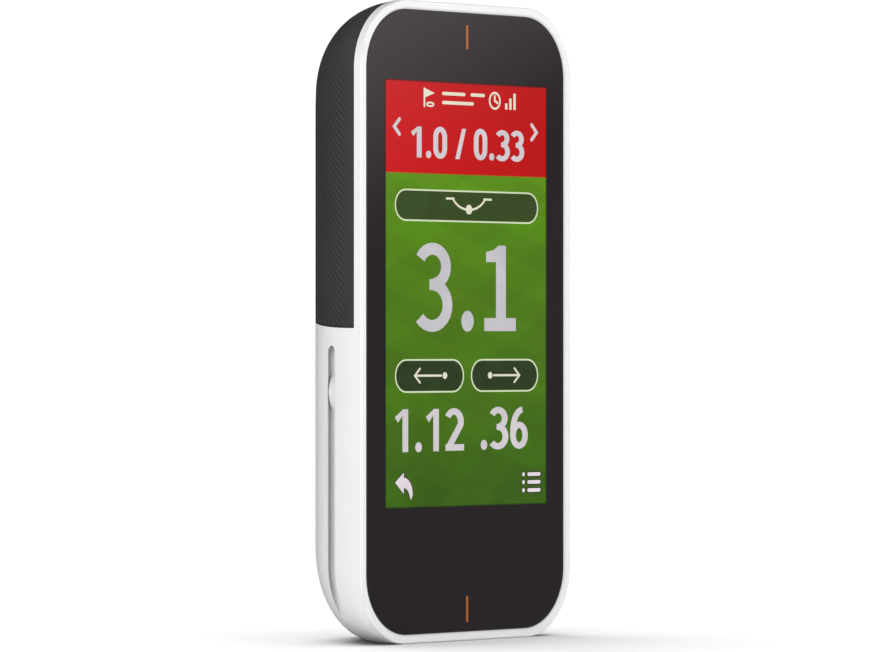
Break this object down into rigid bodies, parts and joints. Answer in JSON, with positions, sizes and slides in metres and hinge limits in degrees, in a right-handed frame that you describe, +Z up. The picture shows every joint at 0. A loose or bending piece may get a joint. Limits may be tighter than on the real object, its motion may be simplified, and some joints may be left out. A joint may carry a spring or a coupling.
{
  "type": "launch monitor",
  "caption": "Pocket golf launch monitor with a tall touch screen, grooved white lower case, ridged dark rear cover, side power button and hinged port cover.",
  "frame": {"origin": "under the middle of the bounding box, on the plane the lower end stands on", "axes": "+Z up along the long side, the screen faces -Y, +X is to the right seen from the screen side"},
  "size_m": [0.062, 0.027, 0.124],
  "materials": {
    "white_case": "satin white moulding",
    "dark_cover": "charcoal, fine slanted ridges",
    "cover_glass": "polished, black printed border",
    "orange_ink": "printed",
    "touch_film": "clear sensor film",
    "lcd": "lit colour screen",
    "backlight": "white diffuser",
    "black_rubber": "matt",
    "button_plastic": "matt",
    "adhesive": "foam tape",
    "steel": "plain",
    "magnesium": "cast, bead blasted",
    "circuit_board": "solder mask",
    "radar_laminate": "high frequency laminate",
    "chip": "moulded",
    "polyimide": "flexible circuit",
    "ceramic": "fired",
    "plating": "gold plated",
    "brass": "knurled",
    "pouch": "laminated foil",
    "red_wire": "insulated",
    "socket_plastic": "moulded"
  },
  "bodies": {
    "case": {"main_housing": "white_case", "rear_cover": "dark_cover", "cover_gasket": "black_rubber", "cover_glass": "cover_glass", "glass_adhesive": "adhesive", "alignment_marks": "orange_ink", "touch_panel": "touch_film", "lcd_panel": "lcd", "backlight": "backlight", "display_tray": "steel", "mid_frame": "magnesium", "main_board": "circuit_board", "main_chips": "chip", "shield_cans": "steel", "display_connectors": "socket_plastic", "display_ribbon": "polyimide", "touch_ribbon": "polyimide", "gps_antenna": "ceramic", "gps_patch": "plating", "radar_board": "radar_laminate", "radar_patches": "plating", "radar_chips": "chip", "radar_spacers": "brass", "radar_connector": "socket_plastic", "radar_screws": "steel", "battery_pack": "pouch", "battery_pad": "adhesive", "battery_retainer": "steel", "battery_board": "circuit_board", "battery_lead": "red_wire", "battery_plug": "socket_plastic", "button_switch": "chip", "port_board": "circuit_board", "port_chips": "chip", "usb_shell": "steel", "usb_tongue": "socket_plastic", "port_ribbon": "polyimide", "door_pin": "steel", "cover_screws": "steel", "frame_screws": "steel", "board_screws": "steel", "thread_inserts": "brass", "buzzer": "chip"},
    "button": {"power_button": "button_plastic"},
    "port_cover": {"port_door": "black_rubber", "port_plug": "black_rubber"}
  },
  "joints": [
    {"name": "button_press", "type": "slide", "parent": "case", "child": "button", "axis": [-1, 0, 0], "range_m": [0, 0.0005], "stiffness_N_per_m": 800, "springref_m": -0.0003},
    {"name": "port_cover_hinge", "type": "hinge", "parent": "case", "child": "port_cover", "pos_m": [0, 0.0123, 0.03], "axis": [1, 0, 0], "range_deg": [0, 95]}
  ]
}
